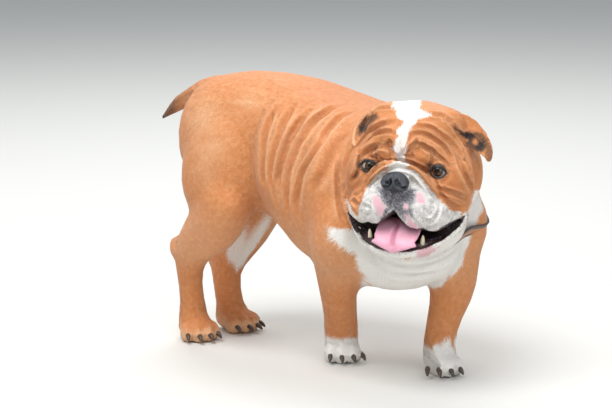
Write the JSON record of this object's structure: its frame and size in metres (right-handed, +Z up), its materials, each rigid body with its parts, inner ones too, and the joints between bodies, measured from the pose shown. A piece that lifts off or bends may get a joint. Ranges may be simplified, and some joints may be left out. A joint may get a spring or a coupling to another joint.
{
  "type": "english bulldog",
  "caption": "Life-size standing bulldog, forehand and wrinkled head turned to its right, mouth open with the tongue out, short kinked tail, leather collar.",
  "frame": {"origin": "on the floor, under the middle of the bounding box", "axes": "+X along the hindquarters towards the forehand, +Y the dog's left, +Z up"},
  "size_m": [0.6198, 0.3404, 0.4124],
  "materials": {
    "coat": "short flat hair, tan-orange",
    "coat_dark": "short flat hair, dark tan",
    "coat_white": "short flat hair, white",
    "nose_leather": "moist pebbled black skin",
    "tongue_skin": "wet pink skin",
    "eye": "wet and clear over a brown iris",
    "collar_leather": "worn tan leather with darker edges"
  },
  "bodies": {
    "root": {"neck": "coat", "head": "coat", "foreleg_left": "coat", "foreleg_right": "coat", "hindleg_left": "coat", "hindleg_right": "coat", "torso": "coat", "ear_left": "coat_dark", "ear_right": "coat_dark", "tail": "coat_dark", "lower_jaw": "coat_white", "forepaw_left": "coat_white", "forepaw_right": "coat_white", "hindpaw_left": "coat_white", "hindpaw_right": "coat_white", "nose": "nose_leather", "tongue": "tongue_skin", "eye_left": "eye", "eye_right": "eye", "collar": "collar_leather"}
  },
  "joints": []
}
